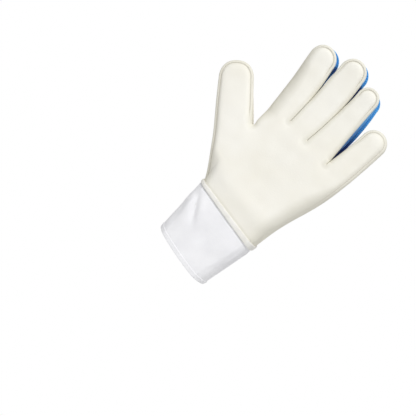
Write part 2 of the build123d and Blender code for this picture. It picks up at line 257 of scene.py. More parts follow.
def waves(x, z, seed, size):
    """Soft unevenness: six long sine waves in different directions, size millimetres in all."""
    rng = np.random.default_rng(seed)
    total = 0
    for _ in range(6):
        angle, length, phase = rng.uniform(0, math.pi), rng.uniform(16, 42), rng.uniform(0, 6.3)
        total = total + np.sin((x * math.cos(angle) + z * math.sin(angle)) * 2 * math.pi / length + phase)
    return total * size / 6


def inward(line):
    """Unit normals to the right of travel, towards the inside of the cut."""
    t = np.gradient(line, axis=0)
    t /= np.linalg.norm(t, axis=1)[:, None]
    n = np.stack([t[:, 1], -t[:, 0]], 1)
    n[1:-1] = n[:-2] + 2 * n[1:-1] + n[2:]
    return n / np.linalg.norm(n, axis=1)[:, None]


def past_fold(x, z, owner):
    """How far a point is past its digit's fold line, towards the tip."""
    fold = np.array([FOLDS[d][0] for d in DIGITS])[owner]
    thumb = (x - THUMB_BASE[0]) * THUMB_ALONG[0] + (z - THUMB_BASE[1]) * THUMB_ALONG[1]
    return np.where(owner == 0, thumb, z - fold)


PUFF = 2.4                              # how far the foam stands above the stitches
STITCH_INSET = 2.75                     # how far inside the cut the stitches are
# Rows of the sheet beside the cut. Each has its inset and its height above the stitches, for an edge with
# a seam allowance, for one that is turned under, and for two that touch.
EDGE_ROWS = [(3.4, -2.0, -2.4, -2.4), (1.6, -2.0, -2.4, -2.2), (0.6, -1.8, -2.2, -1.6),
             (0.12, -1.2, -1.7, -0.8), (0.0, -0.5, -1.1, 0.0), (0.18, 0.1, -0.55, 0.55),
             (0.5, 0.42, -0.1, 0.95), (1.0, 0.6, 0.35, 1.2), (1.5, 0.58, 0.67, 1.35),
             (2.0, 0.42, 0.92, 1.44), (2.4, 0.12, 1.07, 1.5), (2.62, -0.12, 1.15, 1.53),
             (2.8, -0.2, 1.2, 1.55), (3.0, -0.05, 1.26, 1.57), (3.3, 0.25, 1.34, 1.6),
             (3.7, 0.62, 1.44, 1.63), (4.3, 1.05, 1.55, 1.66), (5.0, 1.42, 1.65, 1.69),
             (5.8, 1.72, 1.72, 1.72)]
INNER_INSET, INNER_LIFT = EDGE_ROWS[-1][:2]


def edge_lift(row, edge):
    """Height of one row above the stitches, mixed from its three by how the edge lies at each place."""
    allowance, turned, touching = row[1:]
    return allowance * edge[:, 2] + touching * edge[:, 3] + turned * (1 - edge[:, 2] - edge[:, 3])


def puff(inset):
    """Height of the foam above the stitches: it comes up fast beside them and then levels off."""
    return INNER_LIFT + (PUFF - INNER_LIFT) * (1 - np.exp(-(inset - INNER_INSET) / 2.6))


def rolled(inset, roll):
    """How far a rolled edge turns back: the drop of a circle's edge, roll[0] deep and roll[1] wide."""
    q = 0.94 * (1 - np.clip(inset / roll[..., 1], 0, 1))
    return roll[..., 0] * (1 - np.sqrt(1 - q * q)) / (1 - math.sqrt(1 - 0.94 ** 2))


def curl(x, z, owner):
    """The glove's set: the fingers come forward as the square of the way past the fold, by 7.5 mm at the
    longest one's tip, the little finger half as fast and the thumb hardly."""
    return -0.0011 * np.maximum(0, past_fold(x, z, owner)) ** 2 * np.array([0.15, 1.0, 1.0, 1.0, 0.5])[owner]


def above_seam(x, z):
    """How far a point is above the sloping seam with the cuff."""
    return z - (CUFF_LENGTH - (x - SEAM_SHIFT) * math.tan(math.radians(SEAM_TILT)))


def palm_depth(x, z, inset, lift, roll, owner):
    """y of the palm side: flat, less its rolled edge, with the mounds of the thumb and the heel and the
    hollow between them as round bells, blended within 30 mm of the seam into the cuff's own front. lift is
    the height above the stitches."""
    flat = -21.0 + (PUFF - lift) + rolled(inset, roll) + curl(x, z, owner)
    thenar = np.exp(-((x + 36) ** 2 + (z - 108) ** 2) / 26 ** 2)
    heel = np.exp(-((x - 34) ** 2 + (z - 90) ** 2) / 24 ** 2)
    hollow = np.exp(-((x - 4) ** 2 + (z - 122) ** 2) / 30 ** 2)
    flat = flat - 1.1 * thenar - 0.7 * heel + 0.8 * hollow + waves(x, z, 3, 0.35) * smooth(inset, 2, 9)
    at_seam = np.minimum(np.interp(x, front_rim[:, 0], front_rim[:, 1]), -7.0) + (PUFF - lift) * 0.8 + 0.2
    above = above_seam(x, z)
    near = 1 - smooth(above, 0, 30)
    swell = 1.6 * np.exp(-((above - 19) / 11) ** 2) * smooth(inset, 0, 14) - 0.9 * np.exp(-(above / 1.5) ** 2)
    return flat * (1 - near) + at_seam * near - swell


def back_depth(x, z, inset, lift, roll, owner):
    """y of the back: it comes closer to the palm towards the fingertips in straight stretches, sinks by a
    bell at each sewn channel, and meets the cuff's own back within 30 mm of the seam."""
    along = past_fold(x, z, owner)
    palm = 21.0 - 10.0 * np.clip(z - 64, 0, 112) / 112 - 0.1 * np.maximum(0, z - 176)
    thumb = 15.0 - 0.136 * along
    flat = np.where(owner == 0, palm + (thumb - palm) * smooth(along, -10, 12), palm)
    flat = flat - (PUFF - lift) - rolled(inset, roll) + 0.7 * curl(x, z, owner)
    joint = np.array([FOLDS[d][1] for d in DIGITS])[owner]
    inside = smooth(inset, 3, 6)
    for at in (joint - 6, joint + 6, 3.0 + 0 * joint):
        flat = flat - 1.25 * np.exp(-((along - at) / 1.5) ** 2) * inside
    for foot, (crotch, _) in zip((-14.0, 6.0, 26.0), CROTCHES.values()):
        # Three soft channels run up the hand to between the knuckles
        line = foot + (crotch - foot) * smooth(z, 96, 168)
        flat = flat - 1.4 * np.exp(-((x - line) / 1.7) ** 2) * smooth(z, 96, 104) * (1 - smooth(z, 160, 167))
    flat = flat + waves(x, z, 8, 0.3) * inside
    at_seam = np.maximum(np.interp(x, back_rim[:, 0], back_rim[:, 1]), 7.0) - (PUFF - lift) * 0.8 - 0.2
    near = 1 - smooth(above_seam(x, z), 0, 30)
    return flat * (1 - near) + at_seam * near


def nearest(points, line):
    """For each point, the index of the nearest point of the cut and the distance to it."""
    index, distance = np.zeros(len(points), int), np.zeros(len(points))
    for start in range(0, len(points), 2000):
        gap = points[start:start + 2000, None] - line[None]
        far = np.einsum("ijk,ijk->ij", gap, gap)
        index[start:start + 2000] = far.argmin(1)
        distance[start:start + 2000] = np.sqrt(far.min(1))
    return index, distance


def gap_to_next(line, owner):
    """For each point of the cut, the distance to the nearest point that another digit owns."""
    apart = np.linalg.norm(line[:, None] - line[None], axis=2)
    return np.where(owner[:, None] == owner[None], 1e3, apart).min(1)


def inside_of(points, polygon):
    """Which points lie inside a closed polygon, by counting the edges that a ray crosses."""
    x, z = points[:, 0], points[:, 1]
    hit = np.zeros(len(points), bool)
    for (ax, az), (bx, bz) in zip(polygon, np.roll(polygon, -1, axis=0)):
        if az != bz:
            hit ^= ((az > z) != (bz > z)) & (x < (bx - ax) * (z - az) / (bz - az) + ax)
    return hit


def cut_sheet(tips, kinds, depth, spacing, outward):
    """A whole sheet. Rows run beside the cut at fixed insets, and a triangulated net of even points fills the
    inside. Returns vertices, triangles, normals, UV (way along the cut, inset), trim (on the palm the seam
    allowance's share and the share turned over, on the back how closed the slit is and how near the hand's
    outer edge is), each triangle's digit and way past the fold, and the row that the gussets are sewn to."""
    line, owner, rolls = cut_line(tips, kinds)
    normal = inward(line)
    count = len(line)
    flat = np.concatenate([line + normal * row[0] for row in EDGE_ROWS])
    y = np.concatenate([depth(*(line + normal * row[0]).T, np.full(count, row[0]), edge_lift(row, rolls),
                              rolls, owner) for row in EDGE_ROWS])
    way = np.concatenate([[0], np.cumsum(np.linalg.norm(np.diff(line, axis=0), axis=1))])
    uv = np.concatenate([np.stack([way, np.full(count, row[0])], 1) for row in EDGE_ROWS])
    uv[:4 * count, 1] *= -1             # the first four rows are on the underside
    a = (np.arange(count - 1) + count * np.arange(len(EDGE_ROWS) - 1)[:, None]).ravel()
    quads = np.stack([a, a + 1, a + 1 + count, a + count], 1)
    inner = flat[-count:]
    low, high = inner.min(0), inner.max(0)
    gx, gz = np.meshgrid(np.arange(low[0], high[0], spacing), np.arange(low[1], high[1], spacing * 0.866))
    gx = gx + spacing / 2 * (np.arange(len(gx)) % 2)[:, None]
    net = np.stack([gx.ravel(), gz.ravel()], 1)
    net = net[inside_of(net, inner)]
    index, distance = nearest(net, line)
    _, clear = nearest(net, inner)
    keep = (clear > spacing * 0.55) & (distance > INNER_INSET)
    net, index, distance = net[keep], index[keep], distance[keep]
    points = [Vector(p) for p in np.concatenate([inner, net])]
    made = delaunay_2d_cdt(points, [], [list(range(count))], 1, 1e-5)
    origin = np.array([o[0] if o else -1 for o in made[3]])
    if (origin < 0).any():
        raise RuntimeError("the cut line crosses itself")
    fill = origin[np.array(made[2])] + len(flat) - count
    net_y = depth(net[:, 0], net[:, 1], distance, puff(distance), rolls[index], owner[index])
    flat, y = np.concatenate([flat, net]), np.concatenate([y, net_y])
    verts = np.stack([flat[:, 0], y, flat[:, 1]], 1)
    uv = np.concatenate([uv, np.stack([way[index], distance], 1)])
    nearby = np.concatenate([np.tile(np.arange(count), len(EDGE_ROWS)), index])

    # The tips of the index and little fingers end the hand's outer sides
    past = past_fold(line[:, 0], line[:, 1], owner)
    index_tip, little_tip = (np.where(owner == k, past, -1e9).argmax() for k in (1, 4))
    outer_side = (nearby < index_tip) | (nearby > little_tip)
    if outward < 0:
        # On the palm the second value is the share turned over, which the latex uses for painted shade
        trim = [rolls[nearby, 2], np.clip(1 - np.abs(uv[:, 1]) / rolls[nearby, 1], 0, 1)]
    else:
        # How closed the slit is; the back's binding is painted navy by it, as shade between the fingers
        closed = 1 - smooth(gap_to_next(line, owner), 2.8, 4.4)
        trim = [closed[nearby], outer_side * np.clip(1 - np.abs(uv[:, 1]) / 20, 0, 1)]

    # The rows wind one way and the net the other, so one of them is turned over to face outwards
    triangles = np.concatenate([quads[:, [0, 1, 2]], quads[:, [0, 2, 3]], fill])
    in_rows = np.arange(len(triangles)) < 2 * len(quads)
    turned = in_rows if outward < 0 else ~in_rows
    triangles = np.where(turned[:, None], triangles[:, ::-1], triangles)
    corner = verts[triangles]
    face = np.cross(corner[:, 1] - corner[:, 0], corner[:, 2] - corner[:, 0])
    normals = np.zeros_like(verts)
    for k in range(3):
        np.add.at(normals, triangles[:, k], face)
    normals /= np.maximum(np.linalg.norm(normals, axis=1)[:, None], 1e-9)
    centre = corner.mean(1)
    face_owner = owner[nearby][triangles[:, 0]]
    return {"verts": verts, "triangles": triangles, "normals": normals, "uv": uv, "trim": np.stack(trim, 1),
            "owner": face_owner, "past": past_fold(centre[:, 0], centre[:, 2], face_owner), "way": way,
            "row": verts[:count], "line": line, "line_owner": owner, "line_past": past, "inward": normal,
            "tips": (index_tip, little_tip)}


def part_of(owner, past, reach):
    """0 for the hand, 1 for a digit's lower part and 2 for its upper part. reach is how far before the fold
    the lower part starts, for the thumb and for the fingers."""
    start = np.where(owner == 0, reach[0], reach[1])
    end = np.array([FOLDS[d][2] for d in DIGITS])[owner]
    return np.where(past < start, 0, np.where(past < end, 1, 2))


palm_sheet = cut_sheet(PALM_TIPS, PALM_EDGE, palm_depth, 1.5, -1)
back_sheet = cut_sheet(BACK_TIPS, BACK_EDGE, back_depth, 1.2, 1)


# ---------------------------------------------------------------------------------------------------
# Latex foam palm. Natural latex foam, cast as a sheet and laminated to thin foam and tricot: dead matt,
# warm off-white, with a very fine closed-cell grain. Its cut edge shows the foam.
# ---------------------------------------------------------------------------------------------------
def linear(code):
    """An sRGB hex colour as linear red, green, blue and alpha."""
    rgb = np.array([int(code[i:i + 2], 16) for i in (0, 2, 4)]) / 255
    return (*np.where(rgb <= 0.04045, rgb / 12.92, ((rgb + 0.055) / 1.055) ** 2.4), 1.0)


def connect(tree, target, links):
    """Links a node's inputs, which are the keys, each from its (node, output)."""
    for name, (source, output) in links.items():
        tree.links.new(source.outputs[output], target.inputs[name])


def node(tree, kind, links=None, stops=(), **settings):
    """Adds a node, sets its properties and input values, and links its inputs. in0 is the first input, a hex
    colour becomes linear, and stops are the places and colours of a colour ramp."""
    made = tree.nodes.new(kind)
    for name, value in settings.items():
        if hasattr(made, name):
            setattr(made, name, value)
            continue
        socket = int(name[2:]) if name[:2] == "in" and name[2:].isdigit() else name
        made.inputs[socket].default_value = linear(value) if isinstance(value, str) else value
    for element, (place, colour) in zip(made.color_ramp.elements if stops else (), stops):
        element.position, element.color = place, linear(colour)
    connect(tree, made, links or {})
    return made


def new_material(name, colour, roughness, specular=0.3, sheen=0.0, sheen_roughness=0.5):
    """A material with a Principled shader, its constant values set on the shader's own sockets."""
    material = bpy.data.materials.new(name)
    material.use_nodes = True
    shader = material.node_tree.nodes["Principled BSDF"]
    for socket, value in (("Base Color", linear(colour)), ("Roughness", roughness), ("Sheen Weight", sheen),
                          ("Specular IOR Level", specular), ("Sheen Roughness", sheen_roughness)):
        shader.inputs[socket].default_value = value
    return material, material.node_tree, shader


def mottle(tree, low, high, scale, detail, start=0.3, end=0.7):
    """Noise in the piece's own metres, and the tone it gives between two colours: smooth from low where the
    noise is start to high where it is end."""
    place = node(tree, "ShaderNodeTexCoord")
    noise = node(tree, "ShaderNodeTexNoise", {"Vector": (place, "Object")}, Scale=scale, Detail=detail)
    return noise, node(tree, "ShaderNodeValToRGB", {"Fac": (noise, 0)}, ((start, low), (end, high)))


def uv_parts(tree, layer):
    """The two values of a UV layer, as outputs 0 and 1."""
    uv = node(tree, "ShaderNodeUVMap", uv_map=layer)
    return node(tree, "ShaderNodeSeparateXYZ", {0: (uv, 0)})


def ribs(tree, source, output, spacing):
    """A sine of a distance in millimetres, with one rib every spacing."""
    angle = node(tree, "ShaderNodeMath", {0: (source, output)}, operation="MULTIPLY",
                 in1=2 * math.pi / spacing)
    return node(tree, "ShaderNodeMath", {0: (angle, 0)}, operation="SINE")


# Latex: colour drifts a little over 4 cm, as the cast sheet's thickness does, and shade is painted on it
# where it turns over the side. The grain is 0.3 mm in life and drawn at 1.1 mm so that it shows. The stitches
# are
# 2.8 mm long, in a line beside the cut, and the foam between them is drawn down, with painted shade along it.
latex, tree, shader = new_material("natural_latex_foam", "F4F2E8", 0.82, 0.22)
_, tone = mottle(tree, "F0EDE2", "F5F3EB", 24.0, 2.0)
cut, trim = uv_parts(tree, "cut"), uv_parts(tree, "trim")
# Painted shade: the colour is mixed towards DEDBCC where the edge turns over the side
turned = node(tree, "ShaderNodeMapRange", {0: (trim, 1)}, in1=0.1, in2=1.0, in3=0.0, in4=0.75)
shade = node(tree, "ShaderNodeMix", {"Factor": (turned, 0), "A": (tone, 0)}, data_type="RGBA", B="DEDBCC")
off_line = node(tree, "ShaderNodeMath", {0: (cut, 1)}, operation="SUBTRACT", in1=STITCH_INSET)
off_line = node(tree, "ShaderNodeMath", {0: (off_line, 0)}, operation="ABSOLUTE")
on_line = node(tree, "ShaderNodeMapRange", {0: (off_line, 0)}, in1=0.15, in2=0.75, in3=1.0, in4=0.0)
on_line = node(tree, "ShaderNodeMath", {0: (on_line, 0), 1: (trim, 0)}, operation="MULTIPLY")
beat = ribs(tree, cut, 0, 2.8)
beat = node(tree, "ShaderNodeMapRange", {0: (beat, 0)}, in1=-0.75, in2=-0.2, in3=0.0, in4=1.0)
stitch = node(tree, "ShaderNodeMath", {0: (beat, 0), 1: (on_line, 0)}, operation="MULTIPLY")
# Painted shade: the whole stitch line is darkened towards D6D2C4, as shade in its sunken groove
shade = node(tree, "ShaderNodeMix", {"Factor": (on_line, 0), "A": (shade, 2)}, data_type="RGBA", B="D6D2C4")
place = node(tree, "ShaderNodeTexCoord")
grain = node(tree, "ShaderNodeTexNoise", {"Vector": (place, "Object")}, Scale=900.0, Detail=3.0)
rough = node(tree, "ShaderNodeMapRange", {0: (grain, 0)}, in3=0.74, in4=0.9)
fine = node(tree, "ShaderNodeBump", {"Height": (grain, 0)}, Distance=0.00012)
raised = node(tree, "ShaderNodeBump", {"Height": (stitch, 0), "Normal": (fine, 0)}, Distance=0.0003)
connect(tree, shader, {"Base Color": (shade, 2), "Roughness": (rough, 0), "Normal": (raised, 0)})


def add_piece(name, verts, faces, material, slot, normals=None, **layers):
    """A smooth mesh object at the origin, from arrays in millimetres, with its named UV layers."""
    mesh = bpy.data.meshes.new(name)
    mesh.from_pydata((np.asarray(verts) / 1000).tolist(), [], np.asarray(faces).tolist())
    mesh.polygons.foreach_set("use_smooth", np.ones(len(mesh.polygons), bool))
    loops = np.zeros(len(mesh.loops), np.int32)
    mesh.loops.foreach_get("vertex_index", loops)
    for layer, values in layers.items():
        mesh.uv_layers.new(name=layer).data.foreach_set("uv", np.asarray(values, np.float32)[loops].ravel())
    if normals is not None:
        mesh.normals_split_custom_set_from_vertices(np.asarray(normals).tolist())
    mesh.materials.append(material)
    made = bpy.data.objects.new(name, mesh)
    bpy.context.scene.collection.objects.link(made)
    return made


def follow(piece, part):
    """The hand's piece rides on it. A digit's lower and upper pieces ride on nothing; their placing is baked
    in.
    """
    if part == 0:
        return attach(piece, "hand")
    if part == 1:
        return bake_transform(piece)
    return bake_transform(piece)


def cut_out(sheet, mask):
    """The vertices, triangles, normals and UV layers of some of a sheet's triangles."""
    used, index = np.unique(sheet["triangles"][mask], return_inverse=True)
    return (sheet["verts"][used], index.reshape(-1, 3), sheet["normals"][used],
            {"cut": sheet["uv"][used], "trim": sheet["trim"][used]})


PARTS = ("hand", "lower", "upper")


def add_sheet(sheet, material, slot, hand_name, word):
    """Cuts a sheet into the hand's piece and two for each digit, and stands them for the CAD panels."""
    part = part_of(sheet["owner"], sheet["past"], (-4.0, -6.0))
    verts, faces, normals, layers = cut_out(sheet, part == 0)
    piece = add_piece(f"{hand_name}_skin", verts, faces, material, slot, normals, **layers)
    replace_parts(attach(piece, "hand"), hand_name)
    for k, digit in enumerate(DIGITS):
        for number in (1, 2):
            verts, faces, normals, layers = cut_out(sheet, (part == number) & (sheet["owner"] == k))
            name = f"{digit}_{PARTS[number]}_{word}"
            piece = add_piece(f"{name}_skin", verts, faces, material, slot, normals, **layers)
            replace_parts(follow(piece, number), name)


add_sheet(palm_sheet, latex, "palm_latex", "palm_face", "face")


# ---------------------------------------------------------------------------------------------------
# Padded back. A knitted polyester face over 3 mm foam, sewn through in channels so that it bends at
# the knuckles. The knit is an open hexagon mesh with a soft dull face.
# ---------------------------------------------------------------------------------------------------
# The mesh's holes are 1.6 mm apart in life and drawn at 2.2 mm, and painted darker as shade. Its edge is
# bound in the gussets' blue, painted navy as shade deep between the fingers, and in the palm's off-white on
# the hand's outer sides.
air_mesh, tree, shader = new_material("polyester_air_mesh", "2B6FD6", 0.78, 0.25, 0.25)
place = node(tree, "ShaderNodeTexCoord")
split = node(tree, "ShaderNodeSeparateXYZ", {0: (place, "Object")})
flat = node(tree, "ShaderNodeCombineXYZ", {0: (split, 0), 1: (split, 2)})
holes = node(tree, "ShaderNodeTexVoronoi", {"Vector": (flat, 0)}, voronoi_dimensions="2D", Scale=1000 / 2.2,
             Randomness=0.08)
dots = node(tree, "ShaderNodeMapRange", {0: (holes, 0)}, in1=0.16, in2=0.42, in3=0.0, in4=1.0)
_, tone = mottle(tree, "2667CC", "3C84E6", 30.0, 3.0)
# Painted shade: the mesh's holes are darkened to 1B4C98, as shade in them
shade = node(tree, "ShaderNodeMix", {"Factor": (dots, 0), "B": (tone, 0)}, data_type="RGBA", A="1B4C98")
cut, trim = uv_parts(tree, "cut"), uv_parts(tree, "trim")
edge = node(tree, "ShaderNodeMapRange", {0: (cut, 1)}, in1=2.5, in2=2.8, in3=1.0, in4=0.0)
# Painted shade: the blue binding goes to navy 22428C where the slit between the fingers closes
binding = node(tree, "ShaderNodeValToRGB", {"Fac": (trim, 0)}, ((0.0, "5CB0EA"), (1.0, "22428C")))
shade = node(tree, "ShaderNodeMix", {"Factor": (edge, 0), "A": (shade, 2), "B": (binding, 0)},
             data_type="RGBA")
outer = node(tree, "ShaderNodeMapRange", {0: (trim, 1)}, in1=0.64, in2=0.66)
shade = node(tree, "ShaderNodeMix", {"Factor": (outer, 0), "A": (shade, 2)}, data_type="RGBA", B="EFECE2")
raised = node(tree, "ShaderNodeBump", {"Height": (dots, 0)}, Distance=0.0003)
connect(tree, shader, {"Base Color": (shade, 2), "Normal": (raised, 0)})
add_sheet(back_sheet, air_mesh, "back_fabric", "back_panel", "back")


# ---------------------------------------------------------------------------------------------------
# Gussets. One strip of fabric runs between the two sheets all round the hand. It is bright blue
# stretch knit between the fingers, and the palm's off-white on the outer sides.
# ---------------------------------------------------------------------------------------------------
# Wales of the knit are 0.5 mm in life and drawn 1.2 mm apart, along the strip, and its courses 0.9 mm. Shade
# is
# painted on it: darker in the grooves between the ribs, and navy where the fingers close it up, more towards
# the back.
def wale_knit(name, low, high, groove_shade, sheen):
    """A warp knit whose ribs cross the strip: the sum of a sine along it and one across it."""
    material, tree, shader = new_material(name, high, 0.8, 0.2, sheen)
    cut, deep = uv_parts(tree, "cut"), uv_parts(tree, "deep")
    wale, course = ribs(tree, cut, 0, 1.2), ribs(tree, cut, 1, 0.9)
    both = node(tree, "ShaderNodeMath", {0: (wale, 0), 1: (course, 0)}, operation="ADD")
    height = node(tree, "ShaderNodeMapRange", {0: (both, 0)}, in1=-2.0, in2=2.0)
    _, tone = mottle(tree, low, high, 60.0, 3.0, 0.35, 0.65)
    # Painted shade: low parts of the ribs take the darker third colour given, as shade in the grooves
    valley = node(tree, "ShaderNodeMapRange", {0: (height, 0)}, in1=0.1, in2=0.45, in3=0.6, in4=0.0)
    shade = node(tree, "ShaderNodeMix", {"Factor": (valley, 0), "A": (tone, 0)}, data_type="RGBA", B=groove_shade)
    # Painted shade: navy 1E3A80 where the next finger is close, as shade between the fingers
    shade = node(tree, "ShaderNodeMix", {"Factor": (deep, 0), "A": (shade, 2)}, data_type="RGBA", B="1E3A80")
    raised = node(tree, "ShaderNodeBump", {"Height": (height, 0)}, Distance=0.0002)
    connect(tree, shader, {"Base Color": (shade, 2), "Normal": (raised, 0)})
    return material


blue_knit = wale_knit("blue_stretch_knit", "5CB0EA", "6EC2F8", "3A8FD0", 0.12)
pale_knit = wale_knit("off_white_stretch_knit", "ECE9DE", "F4F2EA", "D8D4C6", 0.15)

# A grid: each row follows the cut, from the palm side's inner row to the back's, and the rows between bulge
# outwards as a half sine, less near the crotches
ROWS = 11
q = np.linspace(0, 1, ROWS)[:, None, None]
front_row, back_row = palm_sheet["row"], back_sheet["row"]
owner, line, past = (palm_sheet[key] for key in ("line_owner", "line", "line_past"))
out = -(palm_sheet["inward"] + back_sheet["inward"]) / 2
crotch_near = np.min([np.linalg.norm(line - np.array(c), axis=1) for c in CROTCHES.values()], 0)
swell = (0.5 + 1.6 * smooth(crotch_near, 3, 18))[None, :, None] * np.sin(math.pi * q) ** 0.8
strip = front_row * (1 - q) + back_row * q
strip[..., 0] += swell[..., 0] * out[:, 0]
strip[..., 2] += swell[..., 0] * out[:, 1]
strip = strip.reshape(-1, 3)
depth_way = np.linspace(0, 1, ROWS)[:, None] * np.linalg.norm(back_row - front_row, axis=1)
strip_uv = np.stack([np.broadcast_to(palm_sheet["way"], depth_way.shape), depth_way], -1).reshape(-1, 2)
# Painted shade for the blue knit: 1 where the gap to the next finger is small, reaching further towards the
# back
deep = 1 - smooth(gap_to_next(line, owner) - 0.1 * depth_way, 1.5, 3.5)
deep = np.stack([deep, deep], -1).reshape(-1, 2)
count = len(line)
a = np.arange(count - 1) + count * np.arange(ROWS - 1)[:, None]
quads = np.stack([a, a + 1, a + 1 + count, a + count], -1)
corner = strip[quads.reshape(-1, 4)]
face = np.cross(corner[:, 2] - corner[:, 0], corner[:, 3] - corner[:, 1])
grid_normal = np.zeros_like(strip)
for k in range(4):
    np.add.at(grid_normal, quads.reshape(-1, 4)[:, k], face)
grid_normal /= np.linalg.norm(grid_normal, axis=1)[:, None]

# The grid is divided by columns: the hand's, and each digit's lower and upper part on either side of its
# tip. On the outer sides the lower part starts just before its blend does.
place_on_cut = np.arange(count)
apex = np.array([np.where(owner == k, past, -1e9).argmax() for k in range(5)])
outside = (place_on_cut < apex[1]) | (place_on_cut > apex[4])
lower_from = np.where(owner == 0, -1.5, np.where(outside, -4.0, -2.5))
upper_from = np.array([FOLDS[d][2] for d in DIGITS])[owner]
part = np.where(past < lower_from, 0, np.where(past < upper_from, 1, 2))
after = place_on_cut > apex[owner]


def add_gusset(name, columns, material, digit, number, slot, *replaced):
    """The strip between some columns of the grid, as one piece. The off-white knit gets no painted navy
    shade.
    """
    chosen = quads[:, columns].reshape(-1, 4)
    used, index = np.unique(chosen, return_inverse=True)
    piece = add_piece(name, strip[used], index.reshape(-1, 4), material, slot, grid_normal[used],
                      cut=strip_uv[used], deep=deep[used] * (material != pale_knit))
    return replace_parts(follow(piece, number), *replaced)


column = np.arange(count - 1)
for k, digit in enumerate(DIGITS):
    for number in (1, 2):
        for late in (False, True):
            chosen = column[(owner[:-1] == k) & (part[:-1] == number) & (after[:-1] == late)]
            if digit == "thumb":
                word, material = ("inner" if late else "outer"), pale_knit
            else:
                word = "little_side" if late else "thumb_side"
                outer = (digit == "index" and not late) or (digit == "little" and late)
                material = pale_knit if outer else blue_knit
            name = f"{digit}_{PARTS[number]}_gusset_{word}"
            add_gusset(f"{name}_knit", chosen, material, digit, number, "gusset_knit", name)
hand_columns = column[part[:-1] == 0]
runs = np.split(hand_columns, np.where(np.diff(hand_columns) > 1)[0] + 1)
for node_name, columns, material, digit in (
        ("thumb_side_wall", runs[0], pale_knit, "thumb"), ("index_side_wall", runs[1], pale_knit, "index"),
        ("finger_webs", np.concatenate(runs[2:-1]), blue_knit, "index"),
        ("little_side_wall", runs[-1], pale_knit, "little")):
    add_gusset(f"{node_name}_knit", columns, material, digit, 0, "gusset_knit", node_name)


# ---------------------------------------------------------------------------------------------------
# Linings. Pale grey brushed polyester tricot, glued to the inside of the palm's foam and of the back. It
# stops short of the seams, and it is what shows inside the wrist opening.
# ---------------------------------------------------------------------------------------------------
# The nap's fibres are 0.1 mm thick and lie in tufts of about 1.4 mm, which is what is drawn.
tricot, tree, shader = new_material("brushed_tricot", "DADBDD", 0.95, 0.1, 0.4)
nap, tone = mottle(tree, "C9CACD", "E6E6E7", 700.0, 4.0)
raised = node(tree, "ShaderNodeBump", {"Height": (nap, 0)}, Distance=0.0003)
connect(tree, shader, {"Base Color": (tone, 0), "Normal": (raised, 0)})
for sheet, name, thickness in ((palm_sheet, "palm_lining", 3.6), (back_sheet, "back_lining", 2.8)):
    inset = sheet["uv"][sheet["triangles"], 1].min(1)
    hand = (part_of(sheet["owner"], sheet["past"], (-4.0, -6.0)) == 0) & (inset > 3.2)
    verts, faces, normals, _ = cut_out(sheet, hand)
    piece = add_piece(f"{name}_tricot", verts - normals * thickness, faces[:, ::-1], tricot, "lining",
                      -normals)
    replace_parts(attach(piece, "hand"), name)


# ---------------------------------------------------------------------------------------------------
# Cuff. A tube of white jersey over thin neoprene, turned in at the rim. It is loose on the wrist, so
# soft folds run across it, the deepest from under the thumb.
# ---------------------------------------------------------------------------------------------------
# Jersey ribs are 0.6 mm apart in life and drawn at 1.3 mm.
jersey, tree, shader = new_material("white_jersey", "F1F1F3", 0.85, 0.2, 0.2)
cut = uv_parts(tree, "cut")
wale = node(tree, "ShaderNodeMapRange", {0: (ribs(tree, cut, 0, 1.3), 0)}, in1=-1.0, in2=1.0)
_, tone = mottle(tree, "ECECEF", "F6F6F8", 35.0, 3.0)
place = node(tree, "ShaderNodeTexCoord")
nap = node(tree, "ShaderNodeTexNoise", {"Vector": (place, "Object")}, Scale=800.0, Detail=2.0)
fine = node(tree, "ShaderNodeBump", {"Height": (nap, 0)}, Distance=0.0001)
raised = node(tree, "ShaderNodeBump", {"Height": (wale, 0), "Normal": (fine, 0)}, Distance=0.00008)
connect(tree, shader, {"Base Color": (tone, 0), "Normal": (raised, 0)})

CUFF_WALL = 2.2
COLUMNS = 240


def crease(x, z, start, end, width, deep):
    """A valley along a line in x and z with a low ridge on each side, all three bells of the distance from
    the line, fading smoothly at both ends."""
    start, end = np.array(start), np.array(end)
    length = np.linalg.norm(end - start)
    along = (end - start) / length
    q = ((x - start[0]) * along[0] + (z - start[1]) * along[1]) / length
    off = (x - start[0]) * along[1] - (z - start[1]) * along[0]
    fade = smooth(q, -0.12, 0.2) * (1 - smooth(q, 0.55, 1.15))
    valley = np.exp(-(off / width) ** 2)
    near_ridge = 0.55 * np.exp(-((off + 2.1 * width) / (1.7 * width)) ** 2)
    far_ridge = 0.3 * np.exp(-((off - 2.4 * width) / (2 * width)) ** 2)
    return fade * deep * (near_ridge + far_ridge - valley)


def welt_height(theta):
    """How far the tape over the seam comes down the cuff, most on the little finger's side."""
    return 4.6 + 1.5 * np.cos(theta)


def cuff_folds(theta, share):
    """How far the cuff's face stands out at each place: its creases and a low bulge on the palm side, a soft
    unevenness, all fading to the rim and the seam, and a ditch where the tape presses it in."""
    point = cuff_at(theta, share)
    x, z = point[..., 0], point[..., 2]
    front = smooth(-np.sin(theta), -0.15, 0.35)
    total = (crease(x, z, (-33.0, 58.0), (-13.0, 28.0), 3.3, 2.1)
             + crease(x, z, (-36.0, 40.0), (-26.0, 8.0), 4.0, 0.9)
             + crease(x, z, (4.0, 56.0), (10.0, 12.0), 9.0, 0.4)
             + 1.6 * np.exp(-((x - 26) / 16) ** 2 - ((z - 36) / 14) ** 2))
    free = np.sin(math.pi * np.clip(share, 0, 1)) ** 0.6
    below = (1 - share) * CUFF_LENGTH - welt_height(theta)
    ditch = 0.7 * np.exp(-((below - 0.3) / 1.1) ** 2) * np.where(below > -3, 1.0, 0.0)
    return (total * front + waves(x + 60 * np.sin(theta), z, 12, 0.35)) * free - ditch


